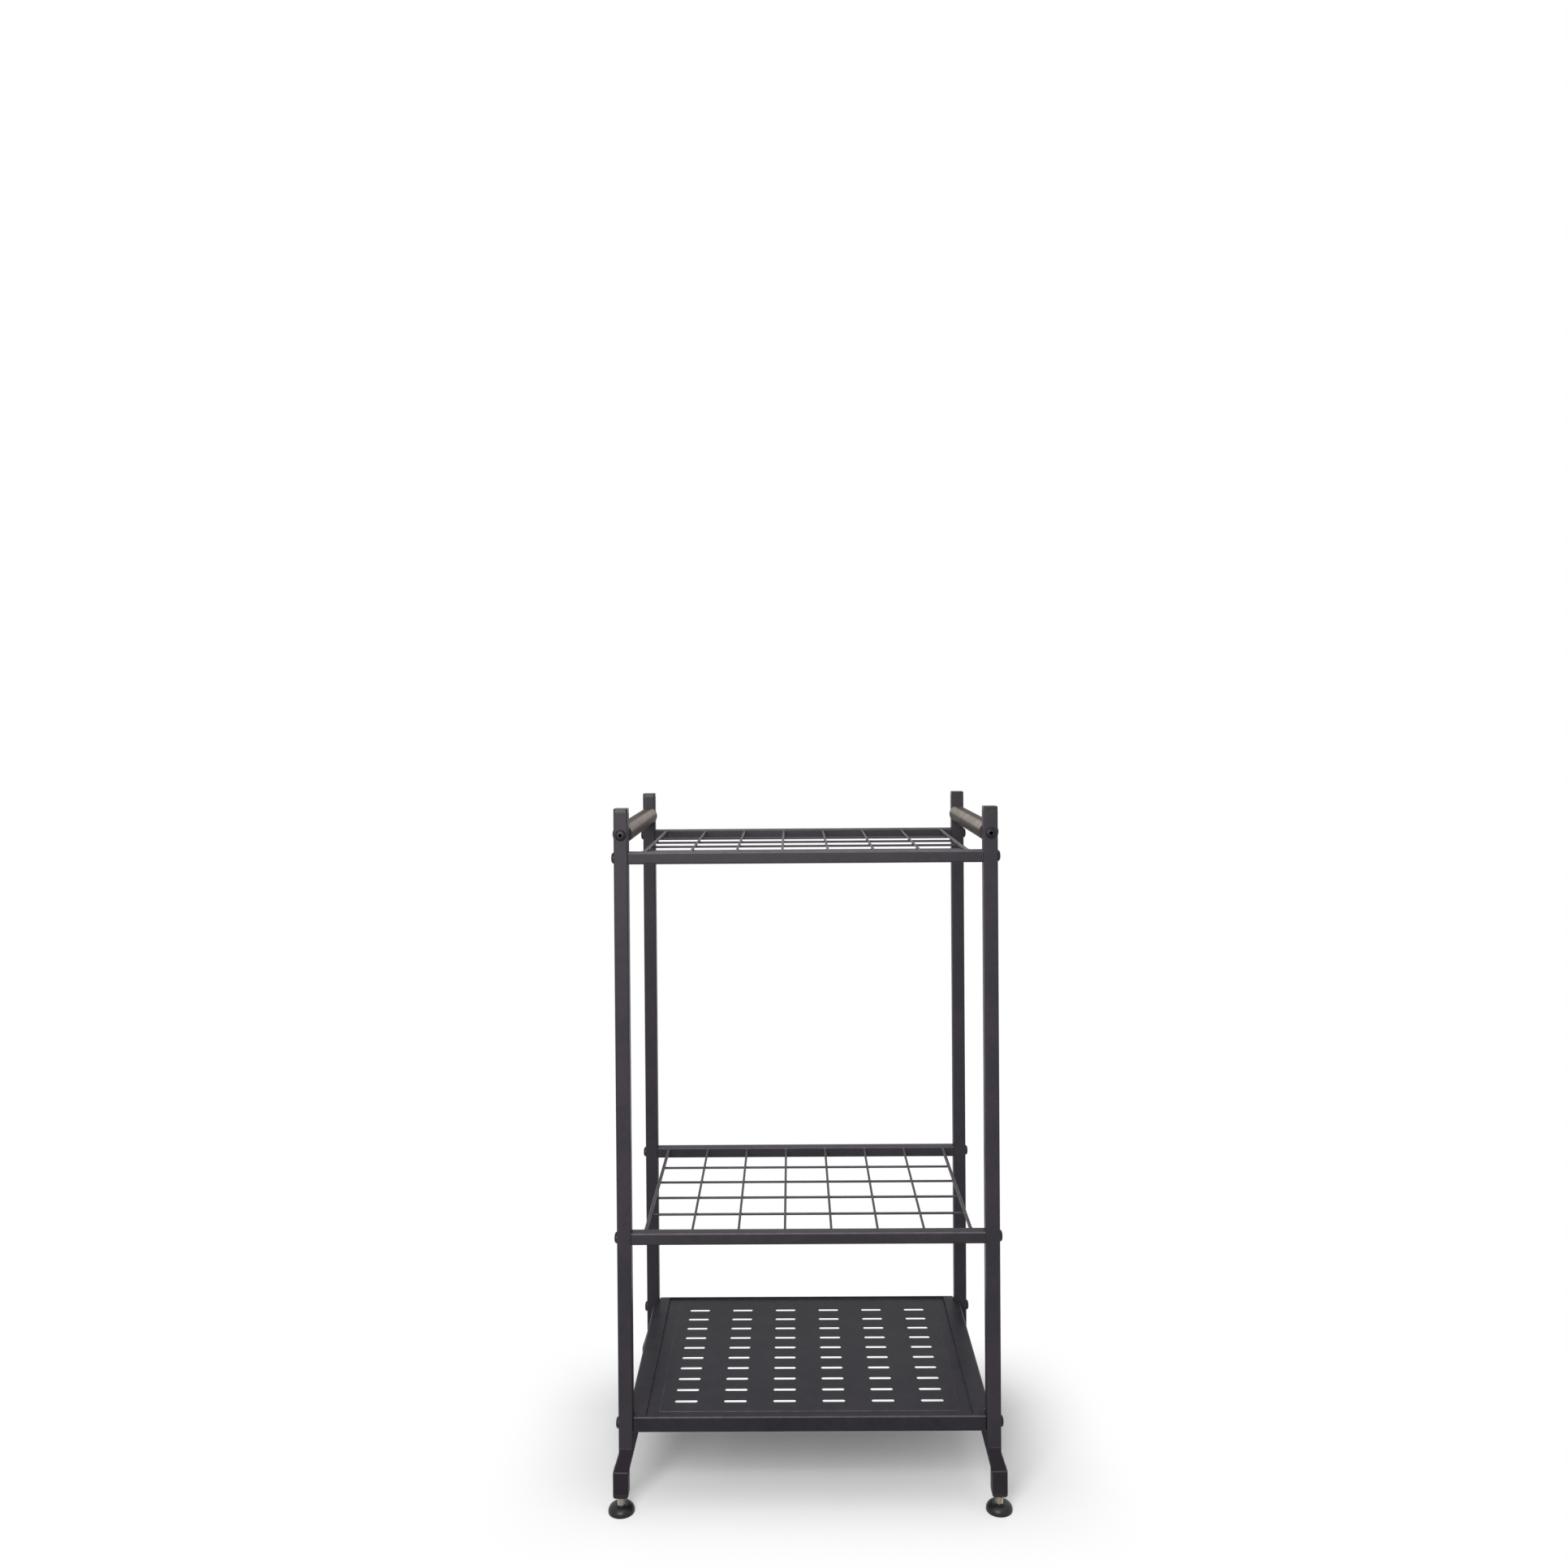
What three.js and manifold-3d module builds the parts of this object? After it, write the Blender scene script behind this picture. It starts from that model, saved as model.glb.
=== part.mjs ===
// Freestanding garden tool rack. Four square uprights carry two open wire shelves, a slotted tray
// and two round side rails, and stand on four screw-levelled feet.
// Millimetres, +Z up, +X to the right, +Y to the back. The origin is on the floor, under the middle.
import * as THREE from "three";
import { mergeVertices } from "three/addons/utils/BufferGeometryUtils.js";
import Module from "manifold-3d";

const wasm = await Module();
wasm.setup();

// Whole rack
const rackHeight = 893;
const uprightSpacingX = 465;
const uprightSpacingY = 326;

// Clearances
const seatGap = 0.3;
const runningGap = 0.3;
const cutOverrun = 1;
const weldSink = 0.5;

// Uprights, square tube with rounded corners
const uprightSide = 18;
const uprightWall = 1.2;
const uprightCorner = 2.2;

// Plastic caps in the upper ends of the uprights
const capHeadHeight = 5;
const capPlugLength = 12;
const capPlugWall = 1.6;

// Leg shoes, which step outwards below the uprights
const shoeSide = 19.5;
const shoeCorner = 2.4;
const shoeWall = 1.5;
const shoeOffset = 7;
const shoeStraightLength = 28;
const shoeShoulder = 1.5;
const shoeStepLength = 22;
const shoeCollarLength = 7;
const spigotLength = 20;
const gussetLeanShare = 0.231;
const gussetThickness = 14;

// Threaded inserts in the lower ends of the shoes
const insertHeadHeight = 5.5;
const insertBodyLength = 12;
const insertBevel = 3.6;

// Levelling feet: a threaded stud that turns in a domed pad
const studDiameter = 10;
const studExposedLength = 10;
const studOverrun = 5;
const studTipChamfer = 1;
const studHeadDiameter = 14;
const studHeadHeight = 3;
const padDiameter = 35;
const padHeight = 10;
const padEdgeHeight = 1.2;
const padNeckDiameter = 15;
const padSole = 3;
const padBevelShare = 0.5;
const padBulgeShare = 0.88;

// Shelf bars, square tube with a threaded plug in each end
const topShelfDrop = 62.9;
const middleShelfHeight = 349;
const barSide = 15.4;
const barWall = 1.2;
const barCorner = 2;
const plugLength = 14;

// Wire grid of a shelf
const gridRise = 2.2;
const wireDiameter = 3.2;
const sideRodDiameter = 4.5;
const sideRodInset = 16.3;
const crossWireCount = 6;
const longWireCount = 4;
const endCellShare = 1.119;

// Slotted tray, folded from sheet
const trayDepth = 19;
const trayClearance = 21;
const traySheet = 1.2;
const trayRim = 2.5;
const trayRecess = 2.5;
const traySideLedge = 15.2;
const traySideReach = 7.5;
const trayPanelRise = 0.6;
const trayPanelInsetX = 17;
const trayPanelInsetY = 14.45;
const traySideGap = 0.6;
const slotColumns = 6;
const slotRows = 10;
const slotLength = 29;
const slotWidth = 7;
const slotFieldShare = 0.93;
const trayNutDiameter = 12;
const trayNutLength = 8;
const trayBoltDrop = 10.5;

// Side rails, round tube with a threaded plug in each end
const railDiameter = 25;
const railWall = 1.2;
const railDrop = 33.5;

// Button-head bolts
const boltDiameter = 6;
const boltReach = 12;
const boltTipChamfer = 0.8;
const boltHeadDiameter = 14;
const boltHeadHeight = 3.4;
const boltHeadEdge = 0.8;
const boltSocketAcross = 4.6;
const boltSocketDepth = 2;

// Facets
const cornerSteps = 1;
const slotEndSteps = 2;
const bevelSteps = 2;
const holeSides = 10;
const wireSides = 8;
const boltSides = 12;
const boltDomeSteps = 3;
const studSides = 16;
const padSides = 24;
const padDomeSteps = 3;
const railSides = 24;
const hexSides = 6;
const mergeTolerance = 1e-4;

// Sizes worked out from those above
const halfX = uprightSpacingX / 2;
const halfY = uprightSpacingY / 2;
const holeDiameter = boltDiameter + 2 * runningGap;
const innerX = halfX - uprightSide / 2 - seatGap;
const innerY = halfY - uprightSide / 2 - seatGap;
const uprightBore = uprightSide - 2 * uprightWall;
const spigotSide = uprightBore - 2 * seatGap;
const insertBottomHeight = padHeight + studExposedLength;
const shoeEndHeight = insertBottomHeight + insertHeadHeight;
const shoeKneeHeight = shoeEndHeight + shoeStraightLength;
const shoeCollarHeight = shoeKneeHeight + shoeShoulder + shoeStepLength;
const uprightFootHeight = shoeCollarHeight + shoeCollarLength;
const studTopHeight = shoeEndHeight + insertBodyLength + studOverrun;
const trayTopHeight = uprightFootHeight + trayClearance + trayDepth;
const trayBoltHeight = trayTopHeight - trayBoltDrop;
const topShelfHeight = rackHeight - topShelfDrop;
const railHeight = rackHeight - railDrop;
const quarterTurn = Math.PI / 2;

const colours = {
  coatedSteel: { color: 0x3f3c42, roughness: 0.45, metalness: 0.3 },
  blackPlastic: { color: 0x242326, roughness: 0.5, metalness: 0 },
  blackScrew: { color: 0x2c2a2e, roughness: 0.35, metalness: 0.7 },
  zincSteel: { color: 0xb9b3aa, roughness: 0.3, metalness: 1 },
};

// Solids and meshes

function solidOf(geometry) {
  const bare = geometry.clone();
  bare.deleteAttribute("normal");
  bare.deleteAttribute("uv");
  const merged = mergeVertices(bare, mergeTolerance);
  return new wasm.Manifold(
    new wasm.Mesh({
      numProp: 3,
      vertProperties: merged.getAttribute("position").array,
      triVerts: new Uint32Array(merged.index.array),
    }),
  );
}

function joined(geometries) {
  return geometries.map(solidOf).reduce((whole, piece) => whole.add(piece));
}

function cut(solid, geometries) {
  return geometries.map(solidOf).reduce((rest, piece) => rest.subtract(piece), solid);
}

function geometryOf(solid) {
  const mesh = solid.getMesh();
  const geometry = new THREE.BufferGeometry();
  geometry.setAttribute("position", new THREE.BufferAttribute(mesh.vertProperties, 3));
  geometry.setIndex(new THREE.BufferAttribute(mesh.triVerts, 1));
  geometry.computeVertexNormals();
  return geometry;
}

function named(name, geometry, finish, x = 0, y = 0, z = 0) {
  const mesh = new THREE.Mesh(geometry, new THREE.MeshStandardMaterial(colours[finish]));
  mesh.name = name;
  mesh.position.set(x, y, z);
  return mesh;
}

// Basic forms

function roundedRectangle(width, depth, corner) {
  const shape = new THREE.Shape();
  const centreX = width / 2 - corner;
  const centreY = depth / 2 - corner;
  const signs = [[1, 1], [-1, 1], [-1, -1], [1, -1]];
  signs.forEach(([signX, signY], i) => {
    shape.absarc(signX * centreX, signY * centreY, corner, i * quarterTurn, (i + 1) * quarterTurn);
  });
  return shape;
}

function slotOutline(length, width) {
  const shape = new THREE.Shape();
  const centre = (length - width) / 2;
  shape.absarc(centre, 0, width / 2, -quarterTurn, quarterTurn);
  shape.absarc(-centre, 0, width / 2, quarterTurn, 3 * quarterTurn);
  return shape;
}

// A plus-shaped outline: the wide halves run out between the uprights, the narrow ones past them.
function plusOutline(wideX, narrowX, wideY, narrowY) {
  const corners = [
    [wideX, narrowY], [narrowX, narrowY], [narrowX, wideY],
    [-narrowX, wideY], [-narrowX, narrowY], [-wideX, narrowY],
    [-wideX, -narrowY], [-narrowX, -narrowY], [-narrowX, -wideY],
    [narrowX, -wideY], [narrowX, -narrowY], [wideX, -narrowY],
  ];
  return new THREE.Shape(corners.map(([x, y]) => new THREE.Vector2(x, y)));
}

function raised(shape, low, high, steps = cornerSteps) {
  const geometry = new THREE.ExtrudeGeometry(shape, {
    depth: high - low,
    bevelEnabled: false,
    curveSegments: steps,
  });
  return geometry.translate(0, 0, low);
}

function squarePost(side, corner, low, high) {
  return raised(roundedRectangle(side, side, corner), low, high);
}

function block(halfWidth, halfDepth, low, high) {
  const geometry = new THREE.BoxGeometry(2 * halfWidth, 2 * halfDepth, high - low);
  return geometry.translate(0, 0, (low + high) / 2);
}

function rodX(diameter, length, sides) {
  return new THREE.CylinderGeometry(diameter / 2, diameter / 2, length, sides).rotateZ(quarterTurn);
}

function rodY(diameter, length, sides) {
  return new THREE.CylinderGeometry(diameter / 2, diameter / 2, length, sides);
}

function rodZ(diameter, length, sides) {
  return new THREE.CylinderGeometry(diameter / 2, diameter / 2, length, sides).rotateX(quarterTurn);
}

function turned(points, sides) {
  const profile = points.map(([radius, height]) => new THREE.Vector2(radius, height));
  return new THREE.LatheGeometry(profile, sides).rotateX(quarterTurn);
}

// A closed skin through rounded squares stacked up the Z axis, each with its own place and side.
function stackedSquares(levels) {
  const rings = levels.map(({ side, corner, x, z }) =>
    roundedRectangle(side, side, corner)
      .getPoints(cornerSteps)
      .map((point) => [point.x + x, point.y, z]),
  );
  const ringSize = rings[0].length;
  const last = (rings.length - 1) * ringSize;
  const index = [];
  for (let start = 0; start < last; start += ringSize) {
    for (let i = 0; i < ringSize; i++) {
      const a = start + i;
      const b = start + ((i + 1) % ringSize);
      index.push(a, b, b + ringSize, a, b + ringSize, a + ringSize);
    }
  }
  for (let i = 1; i + 1 < ringSize; i++) {
    index.push(0, i + 1, i, last, last + i, last + i + 1);
  }
  const geometry = new THREE.BufferGeometry();
  geometry.setAttribute("position", new THREE.Float32BufferAttribute(rings.flat(2), 3));
  geometry.setIndex(index);
  return geometry;
}

// Uprights and their caps

function uprightGeometry() {
  const top = rackHeight - capHeadHeight - seatGap;
  const bottom = uprightFootHeight + seatGap;
  const tube = joined([squarePost(uprightSide, uprightCorner, bottom, top)]);
  const boreCorner = (uprightCorner * uprightBore) / uprightSide;
  const cuts = [squarePost(uprightBore, boreCorner, bottom - cutOverrun, top + cutOverrun)];
  const through = uprightSide + 2 * cutOverrun;
  for (const height of [topShelfHeight, middleShelfHeight, trayBoltHeight]) {
    cuts.push(rodX(holeDiameter, through, holeSides).translate(0, 0, height));
  }
  cuts.push(rodY(holeDiameter, through, holeSides).translate(0, 0, railHeight));
  return geometryOf(cut(tube, cuts));
}

function capGeometry() {
  const under = rackHeight - capHeadHeight;
  const plugSide = uprightBore - 2 * seatGap;
  const plugCorner = (uprightCorner * plugSide) / uprightSide;
  const hollowSide = plugSide - 2 * capPlugWall;
  const hollowCorner = (uprightCorner * hollowSide) / uprightSide;
  const cap = joined([
    squarePost(uprightSide, uprightCorner, under, rackHeight),
    squarePost(plugSide, plugCorner, under - capPlugLength, under + weldSink),
  ]);
  const hollow = squarePost(hollowSide, hollowCorner, under - capPlugLength - cutOverrun, under);
  return geometryOf(cut(cap, [hollow]));
}

// Bolts, drawn with the underside of the head at zero and the shank downwards

function boltGeometry() {
  const shank = uprightSide + 2 * seatGap + boltReach;
  const radius = boltDiameter / 2;
  const headRadius = boltHeadDiameter / 2;
  const flatRadius = boltSocketAcross / 2 + boltHeadEdge;
  const profile = [
    [0, -shank],
    [radius - boltTipChamfer, -shank],
    [radius, boltTipChamfer - shank],
    [radius, 0],
    [headRadius, 0],
  ];
  for (let i = 0; i <= boltDomeSteps; i++) {
    const angle = (quarterTurn * i) / boltDomeSteps;
    profile.push([
      flatRadius + (headRadius - flatRadius) * Math.cos(angle),
      boltHeadEdge + (boltHeadHeight - boltHeadEdge) * Math.sin(angle),
    ]);
  }
  profile.push([0, boltHeadHeight]);
  const hexDiameter = boltSocketAcross / Math.cos(Math.PI / hexSides);
  const socket = rodZ(hexDiameter, 2 * boltSocketDepth, hexSides);
  const bolt = joined([turned(profile, boltSides)]);
  return geometryOf(cut(bolt, [socket.translate(0, 0, boltHeadHeight)]));
}

// Shelves

function shelfBar(y) {
  const outline = roundedRectangle(barSide, barSide, barCorner);
  return raised(outline, -innerX, innerX).rotateY(quarterTurn).translate(0, y, 0);
}

function shelfBarCuts(y) {
  const hollowSide = barSide - 2 * barWall;
  const hollowCorner = (barCorner * hollowSide) / barSide;
  const hollowEnd = innerX - plugLength;
  const hollow = squarePost(hollowSide, hollowCorner, -hollowEnd, hollowEnd).rotateY(quarterTurn);
  const bore = rodX(holeDiameter, 2 * (innerX + cutOverrun), holeSides);
  return [hollow.translate(0, y, 0), bore.translate(0, y, 0)];
}

const sideRodX = innerX - sideRodInset;
const cellPitchX = (2 * sideRodX) / (crossWireCount + 1);
const gridDepth = uprightSpacingY - barSide;
const cellPitchY = gridDepth / (longWireCount - 1 + 2 * endCellShare);

// The cross wires and side rods lie on top of the long wires, a little above the middle of the bars.
function shelfFrameGeometry() {
  const rodLength = gridDepth + 2 * weldSink;
  const pieces = [shelfBar(-halfY), shelfBar(halfY)];
  for (const side of [-1, 1]) {
    const rod = rodY(sideRodDiameter, rodLength, wireSides);
    pieces.push(rod.translate(side * sideRodX, 0, gridRise + (sideRodDiameter + seatGap) / 2));
  }
  for (let i = 1; i <= crossWireCount; i++) {
    const wire = rodY(wireDiameter, rodLength, wireSides);
    const x = i * cellPitchX - sideRodX;
    pieces.push(wire.translate(x, 0, gridRise + (wireDiameter + seatGap) / 2));
  }
  return geometryOf(cut(joined(pieces), [...shelfBarCuts(-halfY), ...shelfBarCuts(halfY)]));
}

function longWireGeometry() {
  return rodX(wireDiameter, 2 * sideRodX + wireDiameter, wireSides);
}

function shelf(name, height) {
  const group = new THREE.Group();
  group.position.z = height;
  group.add(named(name + "_frame", shelfFrameGeometry(), "coatedSteel"));
  for (let i = 0; i < longWireCount; i++) {
    const y = (i - (longWireCount - 1) / 2) * cellPitchY;
    const z = gridRise - (wireDiameter + seatGap) / 2;
    group.add(named(name + "_long_wire_" + (i + 1), longWireGeometry(), "coatedSteel", 0, y, z));
  }
  return group;
}

// Tray, drawn with its rim at zero

function trayGeometry() {
  const wideX = innerX + traySideReach;
  const wideY = halfY + barSide / 2;
  const narrowY = innerY - traySideGap;
  const floorX = innerX - traySideLedge;
  const floorY = wideY - trayRim;
  const panelX = floorX - trayPanelInsetX;
  const panelY = floorY - trayPanelInsetY;
  const under = -trayRecess - traySheet;

  const skin = cut(joined([raised(plusOutline(wideX, innerX, wideY, narrowY), -trayDepth, 0)]), [
    raised(
      plusOutline(wideX - traySheet, innerX - traySheet, wideY - traySheet, narrowY - traySheet),
      -trayDepth - cutOverrun,
      -traySheet,
    ),
  ]);
  const pan = block(floorX + traySheet, wideY - traySheet / 2, under, -traySheet / 2);
  const cuts = [block(floorX, floorY, -trayRecess, cutOverrun)];
  const panel = [block(panelX, panelY, under, trayPanelRise - trayRecess)];
  const panelCuts = [
    block(panelX - traySheet, panelY - traySheet, under - cutOverrun, under + trayPanelRise),
  ];

  const pitchX = (2 * panelX) / slotColumns;
  const pitchY = (2 * panelY * slotFieldShare) / slotRows;
  for (let column = 0; column < slotColumns; column++) {
    for (let row = 0; row < slotRows; row++) {
      const slot = raised(slotOutline(slotLength, slotWidth), under - cutOverrun, 0, slotEndSteps);
      const x = (column - (slotColumns - 1) / 2) * pitchX;
      const y = (row - (slotRows - 1) / 2) * pitchY;
      panelCuts.push(slot.translate(x, y, 0));
    }
  }
  const nuts = [];
  const nutBores = [];
  for (const sideX of [-1, 1]) {
    for (const sideY of [-1, 1]) {
      const nut = rodX(trayNutDiameter, trayNutLength + weldSink, boltSides);
      const inset = traySheet + (trayNutLength - weldSink) / 2;
      nuts.push(nut.translate(sideX * (innerX - inset), sideY * halfY, -trayBoltDrop));
      const bore = rodX(holeDiameter, 2 * (traySheet + trayNutLength + cutOverrun), holeSides);
      nutBores.push(bore.translate(sideX * innerX, sideY * halfY, -trayBoltDrop));
    }
  }
  let tray = skin.add(joined([pan, ...nuts]));
  tray = cut(tray, cuts).add(joined(panel));
  return geometryOf(cut(tray, [...panelCuts, ...nutBores]));
}

// Side rails

function railGeometry() {
  const length = 2 * innerY;
  const rail = joined([rodY(railDiameter, length, railSides)]);
  return geometryOf(
    cut(rail, [
      rodY(railDiameter - 2 * railWall, length - 2 * plugLength, railSides),
      rodY(holeDiameter, length + 2 * cutOverrun, holeSides),
    ]),
  );
}

// Leg shoes, drawn round the axis of their upright at their height above the floor

function shoeGeometry(side) {
  const offset = side * shoeOffset;
  const boreSide = shoeSide - 2 * shoeWall;
  const throatSide = spigotSide - 2 * shoeWall;
  const boreCorner = (shoeCorner * boreSide) / shoeSide;
  const throatCorner = (uprightCorner * throatSide) / uprightSide;
  const spigotCorner = (uprightCorner * spigotSide) / uprightSide;
  const spigotTop = uprightFootHeight + spigotLength;
  const body = stackedSquares([
    { side: shoeSide, corner: shoeCorner, x: offset, z: shoeEndHeight },
    { side: shoeSide, corner: shoeCorner, x: offset, z: shoeKneeHeight },
    { side: uprightSide, corner: uprightCorner, x: offset, z: shoeKneeHeight + shoeShoulder },
    { side: uprightSide, corner: uprightCorner, x: 0, z: shoeCollarHeight },
    { side: uprightSide, corner: uprightCorner, x: 0, z: uprightFootHeight },
  ]);
  const bore = stackedSquares([
    { side: boreSide, corner: boreCorner, x: offset, z: shoeEndHeight - cutOverrun },
    { side: boreSide, corner: boreCorner, x: offset, z: shoeKneeHeight },
    { side: throatSide, corner: throatCorner, x: 0, z: shoeCollarHeight },
    { side: throatSide, corner: throatCorner, x: 0, z: spigotTop + cutOverrun },
  ]);
  const spigot = squarePost(spigotSide, spigotCorner, uprightFootHeight - weldSink, spigotTop);

  const gussetTop = trayTopHeight - trayDepth - seatGap;
  const face = uprightSide / 2;
  const kneeFace = shoeSide / 2 - shoeOffset;
  const topFace = kneeFace + (gussetTop - shoeKneeHeight) * gussetLeanShare;
  const outline = [
    [topFace, gussetTop],
    [face + seatGap, gussetTop],
    [face + seatGap, uprightFootHeight],
    [face - weldSink, uprightFootHeight],
    [kneeFace - weldSink, shoeKneeHeight],
    [kneeFace, shoeKneeHeight],
  ];
  const gusset = raised(
    new THREE.Shape(outline.map(([x, z]) => new THREE.Vector2(-side * x, z))),
    -gussetThickness / 2,
    gussetThickness / 2,
  ).rotateX(quarterTurn);
  return geometryOf(cut(joined([body, spigot, gusset]), [bore]));
}

function insertGeometry() {
  const bottom = insertBottomHeight;
  const top = shoeEndHeight - seatGap;
  const bodySide = shoeSide - 2 * shoeWall - 2 * seatGap;
  const levels = [];
  for (let i = 0; i <= bevelSteps; i++) {
    const angle = (quarterTurn * i) / bevelSteps;
    const side = shoeSide - 2 * insertBevel * (1 - Math.sin(angle));
    const z = bottom + insertBevel * (1 - Math.cos(angle));
    levels.push({ side, corner: (shoeCorner * side) / shoeSide, x: 0, z });
  }
  levels.push({ side: shoeSide, corner: shoeCorner, x: 0, z: top });
  const bodyCorner = (shoeCorner * bodySide) / shoeSide;
  const body = squarePost(bodySide, bodyCorner, top - weldSink, top + insertBodyLength);
  const boreLength = 2 * (insertHeadHeight + insertBodyLength + cutOverrun);
  const bore = rodZ(studDiameter + 2 * runningGap, boreLength, studSides).translate(0, 0, top);
  return geometryOf(cut(joined([stackedSquares(levels), body]), [bore]));
}

// Levelling feet, drawn with the sole of the pad at zero

function studGeometry() {
  const radius = studDiameter / 2;
  const headRadius = studHeadDiameter / 2;
  const low = padSole + seatGap;
  const profile = [
    [0, low],
    [headRadius, low],
    [headRadius, low + studHeadHeight],
    [radius, low + studHeadHeight],
    [radius, studTopHeight - studTipChamfer],
    [radius - studTipChamfer, studTopHeight],
    [0, studTopHeight],
  ];
  return geometryOf(joined([turned(profile, studSides)]));
}

function padGeometry() {
  const radius = padDiameter / 2;
  const neckRadius = padNeckDiameter / 2;
  const boreRadius = studDiameter / 2 + runningGap;
  const headBore = studHeadDiameter / 2 + runningGap;
  const headTop = padSole + studHeadHeight + 2 * seatGap;
  const bevel = padEdgeHeight * padBevelShare;
  const profile = [[0, 0], [radius - bevel, 0], [radius, bevel]];
  for (let i = 0; i <= padDomeSteps; i++) {
    const share = i / padDomeSteps;
    profile.push([
      radius + (neckRadius - radius) * share,
      padEdgeHeight + (padHeight - padEdgeHeight) * share ** padBulgeShare,
    ]);
  }
  profile.push([boreRadius, padHeight], [boreRadius, headTop], [headBore, headTop]);
  profile.push([headBore, padSole], [0, padSole]);
  return geometryOf(joined([turned(profile, padSides)]));
}

// Assembly

const rack = new THREE.Group();
const sidesX = [["left", -1], ["right", 1]];
const sidesY = [["front", -1], ["back", 1]];
const boltSeatX = halfX + uprightSide / 2 + seatGap;
const boltSeatY = halfY + uprightSide / 2 + seatGap;

rack.add(shelf("top_shelf", topShelfHeight));
rack.add(shelf("middle_shelf", middleShelfHeight));
rack.add(named("slotted_tray", trayGeometry(), "coatedSteel", 0, 0, trayTopHeight));

for (const [nameX, sideX] of sidesX) {
  rack.add(named(nameX + "_side_rail", railGeometry(), "coatedSteel", sideX * halfX, 0, railHeight));

  for (const [nameY, sideY] of sidesY) {
    const corner = nameY + "_" + nameX;
    const column = new THREE.Group();
    column.position.set(sideX * halfX, sideY * halfY, 0);
    column.add(named(corner + "_upright", uprightGeometry(), "coatedSteel"));
    column.add(named(corner + "_cap", capGeometry(), "blackPlastic"));
    column.add(named(corner + "_leg_shoe", shoeGeometry(sideX), "coatedSteel"));

    const foot = new THREE.Group();
    foot.position.x = sideX * shoeOffset;
    foot.add(named(corner + "_foot_insert", insertGeometry(), "blackPlastic"));
    foot.add(named(corner + "_foot_stud", studGeometry(), "zincSteel"));
    foot.add(named(corner + "_foot_pad", padGeometry(), "blackPlastic"));
    column.add(foot);
    rack.add(column);

    const heights = [
      ["top_shelf", topShelfHeight],
      ["middle_shelf", middleShelfHeight],
      ["tray", trayBoltHeight],
    ];
    for (const [level, height] of heights) {
      const bolt = named(level + "_bolt_" + corner, boltGeometry(), "blackScrew");
      bolt.position.set(sideX * boltSeatX, sideY * halfY, height);
      bolt.rotation.y = sideX * quarterTurn;
      rack.add(bolt);
    }
    const screw = named(corner + "_rail_screw", boltGeometry(), "blackScrew");
    screw.position.set(sideX * halfX, sideY * boltSeatY, railHeight);
    screw.rotation.x = -sideY * quarterTurn;
    rack.add(screw);
  }
}

export default rack;
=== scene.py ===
import math

import bmesh
import bpy
from mathutils import Matrix, Vector


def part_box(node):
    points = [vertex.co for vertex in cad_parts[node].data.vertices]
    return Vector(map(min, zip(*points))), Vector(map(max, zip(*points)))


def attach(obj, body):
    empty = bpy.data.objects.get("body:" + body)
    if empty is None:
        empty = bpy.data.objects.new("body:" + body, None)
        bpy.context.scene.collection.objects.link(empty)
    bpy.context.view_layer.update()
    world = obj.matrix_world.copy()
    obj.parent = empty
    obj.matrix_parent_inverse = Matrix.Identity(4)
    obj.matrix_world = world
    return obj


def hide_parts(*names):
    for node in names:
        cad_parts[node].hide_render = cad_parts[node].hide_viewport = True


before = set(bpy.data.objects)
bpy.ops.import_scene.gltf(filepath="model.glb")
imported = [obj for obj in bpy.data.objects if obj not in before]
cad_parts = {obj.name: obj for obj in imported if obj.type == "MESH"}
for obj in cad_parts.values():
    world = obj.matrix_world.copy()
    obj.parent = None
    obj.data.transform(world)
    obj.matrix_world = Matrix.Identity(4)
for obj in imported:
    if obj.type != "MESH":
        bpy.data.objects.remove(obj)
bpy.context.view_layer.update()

# Lengths are in millimetres until a piece is finished, then in metres.
toMetres = 0.001
weldDistance = 0.002
quarterTurn = math.pi / 2
fullTurn = 2 * math.pi
corners = [("front_left", -1, -1), ("front_right", 1, -1), ("back_left", -1, 1), ("back_right", 1, 1)]
scene = bpy.context.scene

# Shared by the pieces
seatClosing = 0.27  # how far a piece is drawn into the fitting gap before the face that it sits on
flatLimit = 0.999
sharpLimit = 34
fineSteps = 2
softSteps = 3
domeProfile = 0.5


def placeOf(nodeName):
    low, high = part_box(nodeName)
    low, high = low / toMetres, high / toMetres
    return low, high, (low + high) / 2


screenCurve = {"levels": 255, "toeEnd": 0.04045, "toeSlope": 12.92, "lift": 0.055, "power": 2.4}


def linearLight(value):
    share, lift = value / screenCurve["levels"], screenCurve["lift"]
    if share <= screenCurve["toeEnd"]:
        return share / screenCurve["toeSlope"]
    return ((share + lift) / (1 + lift)) ** screenCurve["power"]


def ink(red, green, blue):
    # a colour given in screen values from 0 to 255
    return (linearLight(red), linearLight(green), linearLight(blue), 1)


# Camera, at the eye point and turn of the photograph

cameraView = {
    "place": (-0.0164, -1.800, 1.0055), "lens": 29.81, "sensor": 36,
    "down": 0.590, "left": 0.311, "roll": 0.421,
    "shiftX": -0.0004, "shiftY": -0.0336,
}


def addCamera(view):
    data = bpy.data.cameras.new("viewpoint")
    data.lens = view["lens"]
    data.sensor_width = view["sensor"]
    data.shift_x = view["shiftX"]
    data.shift_y = view["shiftY"]
    camera = bpy.data.objects.new("viewpoint", data)
    turn = Matrix.Rotation(math.radians(view["left"]), 4, "Z")
    tip = Matrix.Rotation(quarterTurn - math.radians(view["down"]), 4, "X")
    roll = Matrix.Rotation(-math.radians(view["roll"]), 4, "Z")
    camera.matrix_world = Matrix.Translation(view["place"]) @ turn @ tip @ roll
    scene.collection.objects.link(camera)
    scene.camera = camera


addCamera(cameraView)
print("camera set")


# Node tools

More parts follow.
